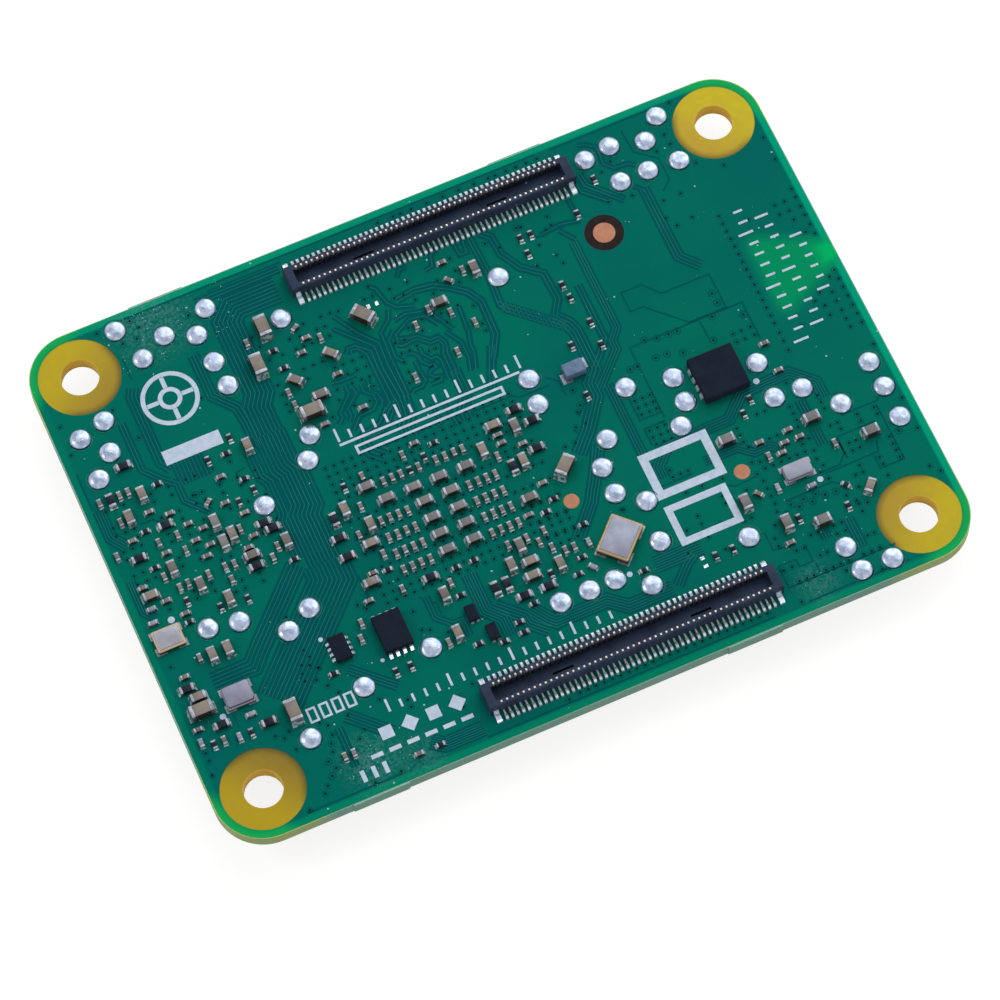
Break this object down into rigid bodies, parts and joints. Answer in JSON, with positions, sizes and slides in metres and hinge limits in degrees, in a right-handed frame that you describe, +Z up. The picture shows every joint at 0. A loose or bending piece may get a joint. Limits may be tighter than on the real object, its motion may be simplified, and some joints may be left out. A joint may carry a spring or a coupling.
{
  "type": "system on module",
  "caption": "Credit-card-style computer module: a green board with two mezzanine connectors, test pads and chip parts on one face and a processor with a heat spreader on the other.",
  "frame": {"origin": "under the board's centre, on the flat top of the processor's heat spreader, which is the module's lowest face", "axes": "+X along the board's long side, +Z up out of the connector face"},
  "size_m": [0.055, 0.0402, 0.0047],
  "materials": {
    "laminate": "bare glass-epoxy laminate",
    "solder_mask": "green solder mask, satin",
    "silkscreen": "white print",
    "solder": "reflowed tin solder",
    "copper": "bare copper",
    "contact_gold": "gold-plated copper alloy contacts",
    "connector_plastic": "black liquid-crystal polymer",
    "chip_plastic": "black moulding compound",
    "capacitor_brown": "sintered brown ceramic",
    "capacitor_grey": "sintered grey-tan ceramic",
    "resistor_black": "black glass coat on alumina",
    "inductor_pale": "pale ceramic",
    "end_cap_tin": "tin-plated end caps",
    "package_ceramic": "dark ceramic with a gold rim",
    "lid_metal": "matte nickel-plated lid",
    "ferrite": "grey-blue ferrite",
    "spreader_metal": "nickel-plated copper heat spreader",
    "package_substrate": "green package substrate",
    "silicon": "bare silicon",
    "shield_metal": "tinned steel shield",
    "led_white": "pale moulded lens"
  },
  "bodies": {
    "root": {"antenna_socket_base": "connector_plastic", "antenna_socket_pin": "contact_gold", "antenna_socket_ring": "contact_gold", "board_laminate": "laminate", "capacitor_end_caps": "end_cap_tin", "capacitors_grey": "capacitor_grey", "capacitors_large": "capacitor_brown", "capacitors_medium": "capacitor_brown", "capacitors_small": "capacitor_brown", "chip_solder": "solder", "connector_1_contacts": "contact_gold", "connector_1_hold_downs": "solder", "connector_1_housing": "connector_plastic", "connector_2_contacts": "contact_gold", "connector_2_hold_downs": "solder", "connector_2_housing": "connector_plastic", "connector_tail_solder": "solder", "crystal_a_base": "package_ceramic", "crystal_a_lid": "lid_metal", "crystal_b_base": "package_ceramic", "crystal_b_lid": "lid_metal", "crystal_c_base": "package_ceramic", "crystal_c_lid": "lid_metal", "ferrite_body": "ferrite", "fiducial_pads": "copper", "flash_chip_body": "chip_plastic", "flash_chip_leads": "solder", "flat_chip_pads": "solder", "inductors_small": "inductor_pale", "io_controller_package": "chip_plastic", "level_shifter_body": "chip_plastic", "level_shifter_leads": "solder", "memory_package": "chip_plastic", "network_chip_body": "chip_plastic", "oscillator_base": "package_ceramic", "oscillator_lid": "lid_metal", "package_solder": "solder", "part_solder_pads": "solder", "power_inductors": "chip_plastic", "power_manager_body": "chip_plastic", "power_switch_body": "chip_plastic", "power_switch_pads": "solder", "processor_die": "silicon", "processor_heat_spreader": "spreader_metal", "processor_solder": "solder", "processor_substrate": "package_substrate", "resistor_end_caps": "end_cap_tin", "resistors_medium": "resistor_black", "resistors_small": "resistor_black", "silkscreen_marks": "silkscreen", "solder_domes": "solder", "solder_mask_bottom": "solder_mask", "solder_mask_top": "solder_mask", "status_led": "led_white", "storage_package": "chip_plastic", "transistor_bodies": "chip_plastic", "transistor_leads": "solder", "wireless_chip": "chip_plastic", "wireless_shield_can": "shield_metal"}
  },
  "joints": []
}
